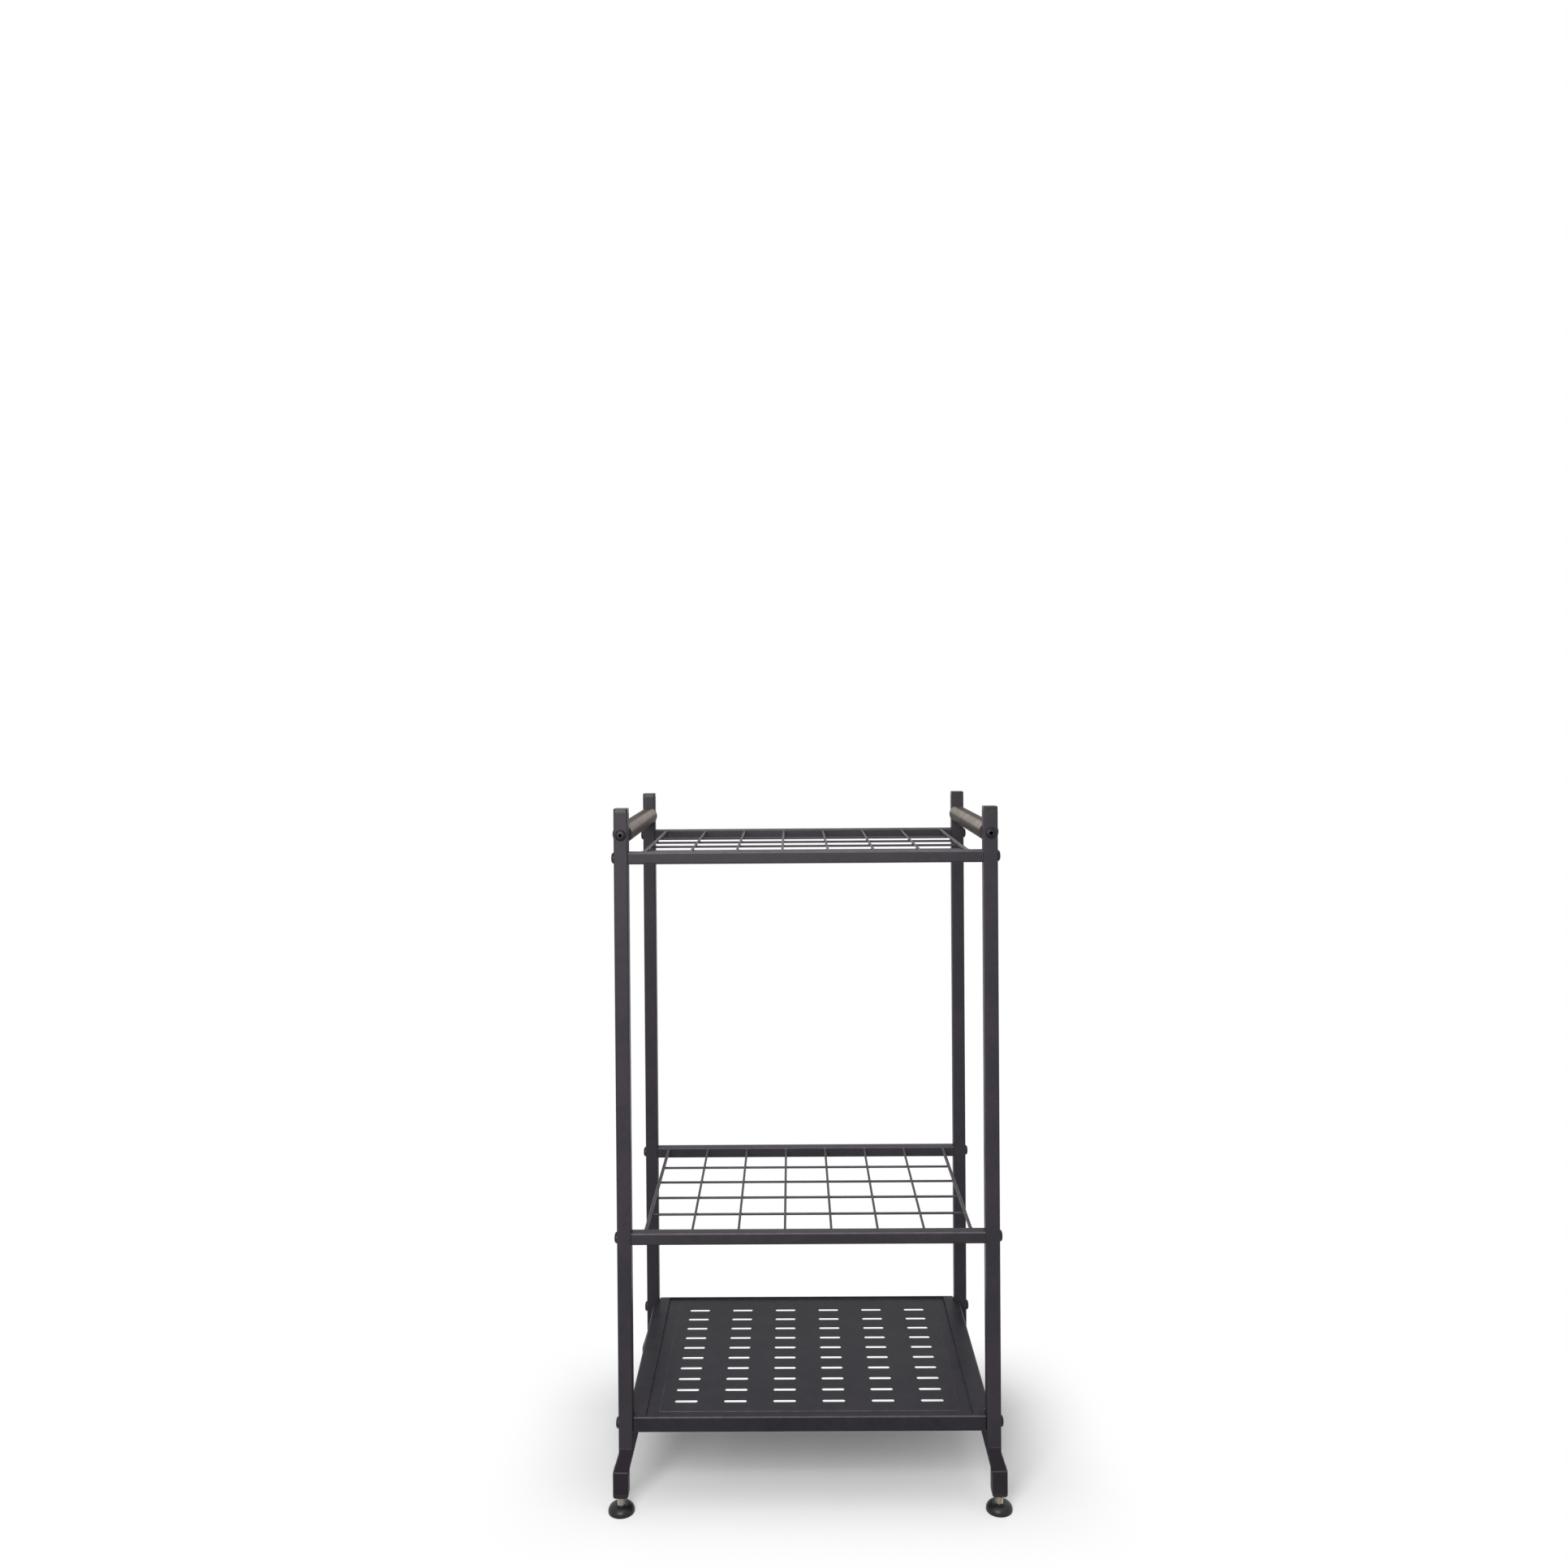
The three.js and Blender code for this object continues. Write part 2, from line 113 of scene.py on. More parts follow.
def setInputs(tree, made, values):
    for key, value in values.items():
        if isinstance(value, bpy.types.NodeSocket):
            tree.links.new(value, made.inputs[key])
        else:
            made.inputs[key].default_value = value


def addNode(tree, kind, inputs=None, **settings):
    made = tree.nodes.new(kind)
    for key, value in settings.items():
        setattr(made, key, value)
    setInputs(tree, made, inputs or {})
    return made


def placeGroup(tree, group, **inputs):
    made = tree.nodes.new("ShaderNodeGroup")
    made.node_tree = group
    setInputs(tree, made, inputs)
    return made.outputs


def sums(tree, operation, first, second=0.0, third=0.0, clamp=False):
    inputs = {0: first, 1: second, 2: third}
    return addNode(tree, "ShaderNodeMath", inputs, operation=operation, use_clamp=clamp).outputs[0]


def product(tree, first, second, clamp=False):
    return sums(tree, "MULTIPLY", first, second, clamp=clamp)


def mixColour(tree, share, first, second):
    return addNode(tree, "ShaderNodeMix", {0: share, 6: first, 7: second}, data_type="RGBA").outputs[2]


def mixSurface(tree, share, first, second):
    return addNode(tree, "ShaderNodeMixShader", {0: share, 1: first, 2: second}).outputs[0]


def spread(tree, value, fromLow, fromHigh, toLow, toHigh):
    inputs = {0: value, 1: fromLow, 2: fromHigh, 3: toLow, 4: toHigh}
    return addNode(tree, "ShaderNodeMapRange", inputs, interpolation_type="SMOOTHSTEP").outputs[0]


def noise(tree, vector, scale, detail, roughness):
    inputs = {"Vector": vector, "Scale": scale, "Detail": detail, "Roughness": roughness}
    return addNode(tree, "ShaderNodeTexNoise", inputs).outputs["Fac"]


def faceNormal(tree):
    return addNode(tree, "ShaderNodeNewGeometry").outputs["Normal"]


def upwardPart(tree, normal):
    return addNode(tree, "ShaderNodeSeparateXYZ", {0: normal}).outputs["Z"]


def clearedTree(owner):
    owner.use_nodes = True
    owner.node_tree.nodes.clear()
    return owner.node_tree


def newGroup(name, inputs, outputs):
    tree = bpy.data.node_groups.new(name, "ShaderNodeTree")
    for label, kind in inputs:
        tree.interface.new_socket(name=label, in_out="INPUT", socket_type="NodeSocket" + kind)
    for label, kind in outputs:
        tree.interface.new_socket(name=label, in_out="OUTPUT", socket_type="NodeSocket" + kind)
    return tree, tree.nodes.new("NodeGroupInput").outputs, tree.nodes.new("NodeGroupOutput").inputs


# Shared surface effects; a cloud is given as detail and roughness, a spread as two ranges

driftEffect = {
    "slow": (3, 0.55), "fine": (2, 0.5), "fineTimes": 9.0, "fineShare": 0.35, "slowShare": 0.65,
    "spread": (0.36, 0.64, 0.0, 1.0),
}
wearAndHighlightEffect = {
    "samples": 4, "rising": (0.12, 0.45, 0.0, 1.0), "falling": (0.80, 0.97, 1.0, 0.0),
    "cloud": (4, 0.6), "patches": (0.38, 0.62, 0.25, 1.0), "patchShare": 0.4, "evenShare": 0.6,
}
dustEffect = {
    "level": (0.35, 1.0, 0.0, 1.0), "cloud": (5, 0.65), "patches": (0.4, 0.7, 0.15, 1.0), "dulling": 0.5,
}
grainEffect = {"peel": (1, 0.4), "tooth": (2, 0.5)}


def toneDriftGroup():
    # slow, cloudy change between two tones, with a finer mottle in it
    tree, given, result = newGroup("toneDrift", [
        ("Vector", "Vector"), ("Scale", "Float"), ("First", "Color"), ("Second", "Color")],
        [("Tone", "Color"), ("Share", "Float")])
    slow = noise(tree, given["Vector"], given["Scale"], *driftEffect["slow"])
    fineScale = product(tree, given["Scale"], driftEffect["fineTimes"])
    fine = noise(tree, given["Vector"], fineScale, *driftEffect["fine"])
    slowPart = product(tree, slow, driftEffect["slowShare"])
    both = sums(tree, "MULTIPLY_ADD", fine, driftEffect["fineShare"], slowPart)
    share = spread(tree, both, *driftEffect["spread"])
    tree.links.new(mixColour(tree, share, given["First"], given["Second"]), result["Tone"])
    tree.links.new(share, result["Share"])
    return tree


def wearAndHighlightGroup():
    # lighter colour along edges, partly coat rubbed thin and partly painted highlight, and a painted
    # highlight on shoulders that look up and out, broken up by noise
    tree, given, result = newGroup("wearAndHighlight", [
        ("Vector", "Vector"), ("Radius", "Float"), ("Gain", "Float"), ("Scale", "Float"),
        ("Shoulder", "Float")], [("Mask", "Float")])
    rounded = addNode(tree, "ShaderNodeBevel", {"Radius": given["Radius"]}, samples=wearAndHighlightEffect["samples"])
    flat = faceNormal(tree)
    facing = addNode(tree, "ShaderNodeVectorMath", {0: rounded.outputs[0], 1: flat}, operation="DOT_PRODUCT")
    bend = sums(tree, "SUBTRACT", 1.0, facing.outputs["Value"], clamp=True)
    tilt = upwardPart(tree, flat)
    oblique = product(tree, spread(tree, tilt, *wearAndHighlightEffect["rising"]),
                      spread(tree, tilt, *wearAndHighlightEffect["falling"]))
    # painted highlight: faces tilted up and out get the lighter colour
    shoulderHighlight = product(tree, oblique, given["Shoulder"])
    cloud = noise(tree, given["Vector"], given["Scale"], *wearAndHighlightEffect["cloud"])
    patches = spread(tree, cloud, *wearAndHighlightEffect["patches"])
    evenPatches = sums(tree, "MULTIPLY_ADD", patches, wearAndHighlightEffect["patchShare"], wearAndHighlightEffect["evenShare"])
    # lighter along bent edges: partly wear, partly painted highlight
    wornAndLit = product(tree, product(tree, bend, given["Gain"]), patches, clamp=True)
    mask = sums(tree, "MULTIPLY_ADD", shoulderHighlight, evenPatches, wornAndLit, clamp=True)
    tree.links.new(mask, result["Mask"])
    return tree


def settledDustGroup():
    # pale dust on faces that look up
    tree, given, result = newGroup("settledDust", [
        ("Vector", "Vector"), ("Amount", "Float"), ("Scale", "Float")], [("Mask", "Float")])
    level = spread(tree, upwardPart(tree, faceNormal(tree)), *dustEffect["level"])
    cloud = noise(tree, given["Vector"], given["Scale"], *dustEffect["cloud"])
    patches = spread(tree, cloud, *dustEffect["patches"])
    mask = product(tree, product(tree, level, patches), given["Amount"], clamp=True)
    tree.links.new(mask, result["Mask"])
    return tree


def coatGrainGroup():
    # orange peel of a sprayed coat with a fine tooth over it
    tree, given, result = newGroup("coatGrain", [
        ("Vector", "Vector"), ("Peel Scale", "Float"), ("Tooth Scale", "Float"), ("Tooth", "Float")],
        [("Height", "Float")])
    peel = noise(tree, given["Vector"], given["Peel Scale"], *grainEffect["peel"])
    tooth = noise(tree, given["Vector"], given["Tooth Scale"], *grainEffect["tooth"])
    tree.links.new(sums(tree, "MULTIPLY_ADD", tooth, given["Tooth"], peel), result["Height"])
    return tree


toneDrift = toneDriftGroup()
wearAndHighlight = wearAndHighlightGroup()
settledDust = settledDustGroup()
coatGrain = coatGrainGroup()

looks = {
    # the lighter colour on edges and the shoulder amount paint highlights along the upper edges of bars and
    # tubes, as well as wear
    "coated_steel": {
        "first": ink(48, 45, 50), "second": ink(53, 49, 55), "driftScale": 14.0,
        "wearAndHighlightColour": ink(98, 92, 98), "wearAndHighlightRadius": 0.0012, "wearAndHighlightGain": 1.5, "wearAndHighlightScale": 90.0,
        "shoulder": 0.7, "dust": ink(120, 116, 114), "dustAmount": 0.05, "dustScale": 40.0,
        "roughLow": 0.42, "roughHigh": 0.48, "metallic": 0.0, "specular": 0.12,
        "peel": 620.0, "toothScale": 2600.0, "tooth": 0.35, "bump": 0.22, "bumpDepth": 0.00012,
    },
    # tray finish: the darker base is painted shade over the whole tray, and the lighter colour on edges and
    # shoulders paints a highlight along the lip's bend
    "tray_coat_painted_shade": {
        "first": ink(41, 39, 45), "second": ink(47, 45, 51), "driftScale": 9.0,
        "wearAndHighlightColour": ink(112, 108, 112), "wearAndHighlightRadius": 0.0012, "wearAndHighlightGain": 1.2, "wearAndHighlightScale": 70.0,
        "shoulder": 0.45, "dust": ink(120, 116, 114), "dustAmount": 0.04, "dustScale": 30.0,
        "roughLow": 0.30, "roughHigh": 0.40, "metallic": 0.0, "specular": 0.05,
        "peel": 620.0, "toothScale": 2600.0, "tooth": 0.35, "bump": 0.22, "bumpDepth": 0.00012,
    },
    # lower-leg finish: the darker base is painted shade near the floor, and the high edge gain paints
    # highlight lines at the knee and edges
    "leg_coat_painted_shade": {
        "first": ink(38, 34, 39), "second": ink(42, 38, 44), "driftScale": 20.0,
        "wearAndHighlightColour": ink(104, 98, 104), "wearAndHighlightRadius": 0.0014, "wearAndHighlightGain": 4.2, "wearAndHighlightScale": 110.0,
        "shoulder": 0.3, "dust": ink(120, 116, 114), "dustAmount": 0.04, "dustScale": 40.0,
        "roughLow": 0.40, "roughHigh": 0.46, "metallic": 0.0, "specular": 0.10,
        "peel": 620.0, "toothScale": 2600.0, "tooth": 0.35, "bump": 0.22, "bumpDepth": 0.00012,
    },
    # rail finish: the lighter, warmer base and the pale colour on its shoulders are a painted highlight and
    # reflection along the top of the black rail
    "rail_coat_painted_highlight": {
        "first": ink(56, 51, 50), "second": ink(63, 57, 55), "driftScale": 12.0,
        "wearAndHighlightColour": ink(160, 149, 141), "wearAndHighlightRadius": 0.0012, "wearAndHighlightGain": 0.6, "wearAndHighlightScale": 40.0,
        "shoulder": 0.8, "dust": ink(120, 116, 114), "dustAmount": 0.05, "dustScale": 40.0,
        "roughLow": 0.46, "roughHigh": 0.52, "metallic": 0.0, "specular": 0.03,
        "peel": 260.0, "toothScale": 900.0, "tooth": 0.15, "bump": 0.06, "bumpDepth": 0.00012,
    },
    "black_plastic": {
        "first": ink(22, 21, 24), "second": ink(29, 28, 31), "driftScale": 45.0,
        "wearAndHighlightColour": ink(62, 61, 65), "wearAndHighlightRadius": 0.0008, "wearAndHighlightGain": 1.6, "wearAndHighlightScale": 160.0,
        "shoulder": 0.0, "dust": ink(120, 118, 116), "dustAmount": 0.04, "dustScale": 90.0,
        "roughLow": 0.32, "roughHigh": 0.38, "metallic": 0.0, "specular": 0.3,
        "peel": 1500.0, "toothScale": 5200.0, "tooth": 0.7, "bump": 0.30, "bumpDepth": 0.00008,
    },
    # the strong edge gain paints a highlight ring around the rim of the hex socket, as well as wear
    "black_screw": {
        "first": ink(26, 24, 27), "second": ink(36, 33, 36), "driftScale": 120.0,
        "wearAndHighlightColour": ink(112, 108, 108), "wearAndHighlightRadius": 0.0010, "wearAndHighlightGain": 3.6, "wearAndHighlightScale": 260.0,
        "shoulder": 0.0, "dust": ink(120, 118, 116), "dustAmount": 0.04, "dustScale": 120.0,
        "roughLow": 0.28, "roughHigh": 0.38, "metallic": 0.25, "specular": 0.15,
        "peel": 1800.0, "toothScale": 5200.0, "tooth": 0.4, "bump": 0.18, "bumpDepth": 0.00005,
    },
    "zinc_steel": {
        "first": ink(196, 187, 176), "second": ink(178, 168, 158), "driftScale": 160.0,
        "wearAndHighlightColour": ink(226, 222, 216), "wearAndHighlightRadius": 0.0003, "wearAndHighlightGain": 1.8, "wearAndHighlightScale": 400.0,
        "shoulder": 0.0, "dust": ink(120, 110, 100), "dustAmount": 0.10, "dustScale": 300.0,
        "roughLow": 0.26, "roughHigh": 0.38, "metallic": 0.9, "specular": 0.5,
        "peel": 2400.0, "toothScale": 6400.0, "tooth": 0.4, "bump": 0.12, "bumpDepth": 0.00004,
    },
}


def newFinish(name, look):
    material = bpy.data.materials.new(name)
    tree = clearedTree(material)
    vector = addNode(tree, "ShaderNodeTexCoord").outputs["Object"]
    drift = placeGroup(tree, toneDrift, Vector=vector, Scale=look["driftScale"],
                       First=look["first"], Second=look["second"])
    wearAndHighlightOutputs = placeGroup(tree, wearAndHighlight, Vector=vector, Radius=look["wearAndHighlightRadius"],
                     Gain=look["wearAndHighlightGain"], Scale=look["wearAndHighlightScale"], Shoulder=look["shoulder"])
    dust = placeGroup(tree, settledDust, Vector=vector, Amount=look["dustAmount"], Scale=look["dustScale"])
    grain = placeGroup(tree, coatGrain, **{
        "Vector": vector, "Peel Scale": look["peel"],
        "Tooth Scale": look["toothScale"], "Tooth": look["tooth"]})
    # edge wear and painted highlight on edges and upward shoulders, mixed over the tone
    wornAndLit = mixColour(tree, wearAndHighlightOutputs["Mask"], drift["Tone"], look["wearAndHighlightColour"])
    colour = mixColour(tree, dust["Mask"], wornAndLit, look["dust"])
    gloss = spread(tree, drift["Share"], 0.0, 1.0, look["roughLow"], look["roughHigh"])
    roughness = sums(tree, "MULTIPLY_ADD", dust["Mask"], dustEffect["dulling"], gloss, clamp=True)
    normal = addNode(tree, "ShaderNodeBump", {
        "Strength": look["bump"], "Distance": look["bumpDepth"], "Height": grain["Height"]}).outputs[0]
    surface = addNode(tree, "ShaderNodeBsdfPrincipled", {
        "Base Color": colour, "Roughness": roughness, "Normal": normal,
        "Metallic": look["metallic"], "Specular IOR Level": look["specular"]})
    addNode(tree, "ShaderNodeOutputMaterial", {"Surface": surface.outputs[0]})
    return material


finishes = {name: newFinish(name + "_finish", look) for name, look in looks.items()}
print("finishes made")


# Mesh tools

def vertsIn(geom):
    return [item for item in geom if isinstance(item, bmesh.types.BMVert)]


def edgesIn(geom):
    return [item for item in geom if isinstance(item, bmesh.types.BMEdge)]


def facesIn(geom):
    return [item for item in geom if isinstance(item, bmesh.types.BMFace)]


def edgesOf(faces):
    return list({edge for face in faces for edge in face.edges})


def edgesAt(bm, z):
    return [edge for edge in bm.edges if all(abs(vert.co.z - z) < weldDistance for vert in edge.verts)]


def openEdges(bm):
    return [edge for edge in bm.edges if edge.is_boundary]


def flatFaces(bm, z):
    # the level faces at one height
    bm.normal_update()
    return [face for face in bm.faces if abs(face.normal.z) > flatLimit
            and abs(face.calc_center_median().z - z) < weldDistance]


def arc(centre, reach, start, steps):
    # a quarter of an ellipse, as points in two directions
    turns = [start + quarterTurn * i / steps for i in range(steps + 1)]
    return [(centre[0] + reach[0] * math.cos(turn), centre[1] + reach[1] * math.sin(turn)) for turn in turns]


def soften(bm, edges, radius, steps):
    bmesh.ops.bevel(bm, geom=edges, offset=radius, offset_type="OFFSET", segments=steps,
                    profile=domeProfile, affect="EDGES", material=-1, clamp_overlap=True)


def removeFaces(bm, faces):
    bmesh.ops.delete(bm, geom=faces, context="FACES_ONLY")


def moved(bm, before, matrix):
    fresh = [vert for vert in bm.verts if vert not in before]
    bmesh.ops.transform(bm, matrix=matrix, verts=fresh)


def placed(bm, place):
    bmesh.ops.translate(bm, vec=(place.x, place.y, 0), verts=bm.verts)


def pointing(place, direction):
    turn = Vector(direction).to_track_quat("Z", "Y").to_matrix().to_4x4()
    return Matrix.Translation(place) @ turn


def roundedFace(bm, width, depth, corner, steps, x=0, y=0, z=0):
    verts = bmesh.ops.create_grid(bm, x_segments=1, y_segments=1, size=1 / 2)["verts"]
    bmesh.ops.scale(bm, vec=(width, depth, 1), verts=verts)
    bmesh.ops.translate(bm, vec=(x, y, z), verts=verts)
    made = bmesh.ops.bevel(bm, geom=verts, offset=corner, offset_type="OFFSET", segments=steps,
                           profile=domeProfile, affect="VERTICES", material=-1)
    return made["verts"][0].link_faces[0]


def ring(bm, radius, sides, z):
    verts = bmesh.ops.create_circle(bm, segments=sides, radius=radius,
                                    matrix=Matrix.Translation((0, 0, z)))["verts"]
    return list({edge for vert in verts for edge in vert.link_edges})


def raisedFace(bm, face, move, keep=False):
    made = bmesh.ops.extrude_face_region(bm, geom=[face])["geom"]
    bmesh.ops.translate(bm, vec=move, verts=vertsIn(made))
    if face.is_valid and not keep:
        removeFaces(bm, [face])
    return facesIn(made)[0]


def steppedPost(bm, stations, corner, steps):
    # a rounded square drawn up through stations of width, x, y and z
    width, x, y, z = stations[0]
    face = roundedFace(bm, width, width, corner, steps, x, y, z)
    for station in stations[1:]:
        start = Vector((x, y, z))
        face = raisedFace(bm, face, (0, 0, 0), keep=station is stations[1])
        grow = station[0] / width
        bmesh.ops.scale(bm, vec=(grow, grow, 1), space=Matrix.Translation(-start), verts=face.verts)
        width, x, y, z = station
        bmesh.ops.translate(bm, vec=Vector((x, y, z)) - start, verts=face.verts)
    bmesh.ops.recalc_face_normals(bm, faces=bm.faces)


def rimmed(bm, z, wall):
    # draws the level face at one height in by one wall, and gives what lies inside the rim
    ends = flatFaces(bm, z)
    bmesh.ops.inset_individual(bm, faces=ends, thickness=wall, use_even_offset=True)
    return ends


def rod(bm, radius, start, end, sides, endRadius=0):
    start, end = Vector(start), Vector(end)
    matrix = pointing((start + end) / 2, end - start)
    made = bmesh.ops.create_cone(bm, cap_ends=True, cap_tris=False, segments=sides, radius1=radius,
                                 radius2=radius, depth=(end - start).length, matrix=matrix)
    if endRadius:
        ends = [face for face in {f for v in made["verts"] for f in v.link_faces} if len(face.verts) == sides]
        soften(bm, edgesOf(ends), endRadius, softSteps)


def turned(bm, profile, steps):
    verts = [bm.verts.new((radius, 0, z)) for radius, z in profile]
    edges = [bm.edges.new(pair) for pair in zip(verts, verts[1:])]
    bmesh.ops.spin(bm, geom=verts + edges, cent=(0, 0, 0), axis=(0, 0, 1), dvec=(0, 0, 0),
                   angle=fullTurn, steps=steps, use_merge=True)


def newPiece(name, bm, slotName, body, *nodes, finish=None):
    bmesh.ops.scale(bm, vec=(toMetres, toMetres, toMetres), verts=bm.verts)
    mesh = bpy.data.meshes.new(name)
    bm.to_mesh(mesh)
    bm.free()
    mesh.shade_smooth()
    mesh.set_sharp_from_angle(angle=math.radians(sharpLimit))
    mesh.materials.append(finishes[finish or slotName])
    piece = bpy.data.objects.new(name, mesh)
    scene.collection.objects.link(piece)
    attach(piece, body)
    if nodes:
        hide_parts(*nodes)
    return piece


def closedPiece(name, bm, *given, **settings):
    bmesh.ops.remove_doubles(bm, verts=bm.verts, dist=weldDistance)
    bmesh.ops.recalc_face_normals(bm, faces=bm.faces)
    return newPiece(name, bm, *given, **settings)


def evenShading(piece):
    piece.modifiers.new("evenShading", "WEIGHTED_NORMAL").keep_sharp = True


# Uprights: rounded square tubes

uprightShape = {"corner": 2.2, "cornerSteps": 7, "wall": 1.2, "endRadius": 0.3}


def buildUpright(corner):
    size = uprightShape
    node = corner + "_upright"
    low, high, middle = placeOf(node)
    side = high.x - low.x
    bm = bmesh.new()
    steppedPost(bm, [(side, 0, 0, low.z), (side, 0, 0, high.z)], size["corner"], size["cornerSteps"])
    soften(bm, edgesOf(flatFaces(bm, low.z) + flatFaces(bm, high.z)), size["endRadius"], fineSteps)
    ends = rimmed(bm, low.z, size["wall"]) + rimmed(bm, high.z, size["wall"])
    rims = edgesOf(ends)
    removeFaces(bm, ends)
    bmesh.ops.bridge_loops(bm, edges=rims)
    placed(bm, middle)
    evenShading(closedPiece(corner + "_upright_tube", bm, "coated_steel", "rack", node))


# Caps: moulded plugs with a softly rounded head

capShape = {
    "corner": 2.2, "cornerSteps": 7, "headHeight": 5, "topRadius": 1.3, "topSteps": 5,
    "plugSide": 15.0, "plugWall": 1.6, "hollowDepth": 10,
}


def buildCap(corner):
    size = capShape
    node = corner + "_cap"
    low, high, middle = placeOf(node)
    side, plug = high.x - low.x, size["plugSide"]
    under = high.z - size["headHeight"] - seatClosing
    bm = bmesh.new()
    steppedPost(bm, [(plug, 0, 0, low.z), (plug, 0, 0, under), (side, 0, 0, under), (side, 0, 0, high.z)],
                size["corner"], size["cornerSteps"])
    soften(bm, edgesOf(flatFaces(bm, high.z)), size["topRadius"], size["topSteps"])
    raisedFace(bm, rimmed(bm, low.z, size["plugWall"])[0], (0, 0, size["hollowDepth"]))
    placed(bm, middle)
    evenShading(closedPiece(corner + "_top_cap", bm, "black_plastic", "rack", node))


# Leg shoes: the lower legs, stepped outwards, with a gusset on the inner side

shoeShape = {
    "side": 19.5, "neckSide": 18, "spigotSide": 15.0, "corner": 2.4, "cornerSteps": 7, "wall": 1.5,
    "offset": 7, "endHeight": 25.5, "kneeHeight": 53.5, "shoulder": 1.0, "collarHeight": 77,
    "footHeight": 84, "boreDepth": 28.5, "bendRadius": 1.2, "kneeRadius": 0.35, "endRadius": 0.4,
    "gussetTop": 104.95, "gussetReach": 16.3, "gussetFace": 9.03, "gussetEnd": 50,
    "gussetEndReach": 2.65, "gussetToe": 1.7, "gussetThickness": 14, "gussetRadius": 0.9,
}


def buildGusset(bm, x, y, side, size):
    outline = [
        (size["gussetReach"], size["gussetTop"]), (size["gussetFace"], size["gussetTop"]),
        (size["gussetFace"], size["footHeight"]), (size["gussetToe"], size["gussetEnd"]),
        (size["gussetEndReach"], size["gussetEnd"]),
    ]
    before = set(bm.verts)
    half = size["gussetThickness"] / 2
    face = bm.faces.new([bm.verts.new((x - side * reach, y - half, z)) for reach, z in outline])
    raisedFace(bm, face, (0, 2 * half, 0), keep=True)
    fresh = [edge for edge in bm.edges if edge.verts[0] not in before]
    soften(bm, fresh, size["gussetRadius"], softSteps)


def buildShoe(corner, side):
    size = shoeShape
    node = corner + "_leg_shoe"
    high, middle = placeOf(node)[1:]
    y = middle.y
    x = placeOf(corner + "_upright")[2].x
    out = x + side * size["offset"]
    wide, neck, spigot, end = size["side"], size["neckSide"], size["spigotSide"], size["endHeight"]
    knee, shoulder = size["kneeHeight"], size["kneeHeight"] + size["shoulder"]
    collar, seat = size["collarHeight"], size["footHeight"] + seatClosing
    bm = bmesh.new()
    steppedPost(bm, [
        (wide, out, y, end), (wide, out, y, knee), (neck, out, y, shoulder), (neck, x, y, collar),
        (neck, x, y, seat), (spigot, x, y, seat), (spigot, x, y, high.z),
    ], size["corner"], size["cornerSteps"])
    soften(bm, edgesAt(bm, knee) + edgesAt(bm, shoulder), size["kneeRadius"], softSteps)
    soften(bm, edgesAt(bm, collar), size["bendRadius"], softSteps)
    soften(bm, edgesOf(flatFaces(bm, end)), size["endRadius"], fineSteps)
    raisedFace(bm, rimmed(bm, end, size["wall"])[0], (0, 0, size["boreDepth"]))
    buildGusset(bm, x, y, side, size)
    evenShading(closedPiece(corner + "_lower_leg", bm, "coated_steel", "rack", node, finish="leg_coat_painted_shade"))


# Threaded inserts in the lower ends of the shoes

insertShape = {
    "corner": 2.4, "cornerSteps": 7, "headHeight": 5.2, "bevel": 3.6, "bevelSteps": 6,
    "bodySide": 15.9, "boreRadius": 5.3, "boreSides": 40,
}


def buildInsert(corner):
    size = insertShape
    node = corner + "_foot_insert"
    low, high, middle = placeOf(node)
    side, bevel, bodySide = high.x - low.x, size["bevel"], size["bodySide"]
    bend = arc((side - 2 * bevel, low.z + bevel), (2 * bevel, bevel), -quarterTurn, size["bevelSteps"])
    head = low.z + size["headHeight"] + seatClosing
    outline = bend + [(side, head), (bodySide, head), (bodySide, high.z)]
    bm = bmesh.new()
    steppedPost(bm, [(width, 0, 0, z) for width, z in outline],
                size["corner"] * outline[0][0] / side, size["cornerSteps"])
    bore = []
    for z in (low.z, high.z):
        ends = flatFaces(bm, z)
        rim = edgesOf(ends)
        removeFaces(bm, ends)
        circle = ring(bm, size["boreRadius"], size["boreSides"], z)
        bmesh.ops.bridge_loops(bm, edges=rim + circle)
        bore += circle
    bmesh.ops.bridge_loops(bm, edges=bore)
    placed(bm, middle)
    evenShading(closedPiece(corner + "_threaded_insert", bm, "black_plastic", "rack", node))


# Levelling studs, with a real right-hand thread

studShape = {
    "radius": 5.0, "rootRadius": 4.08, "pitch": 1.5, "crest": 0.22, "stepsPerTurn": 28,
    "threadLow": 8.0, "turnsBelow": 2, "turnsAbove": 1,
    "headRadius": 7.0, "headHeight": 3, "neckRadius": 4.38, "neckTop": 8.6, "headSides": 40,
}


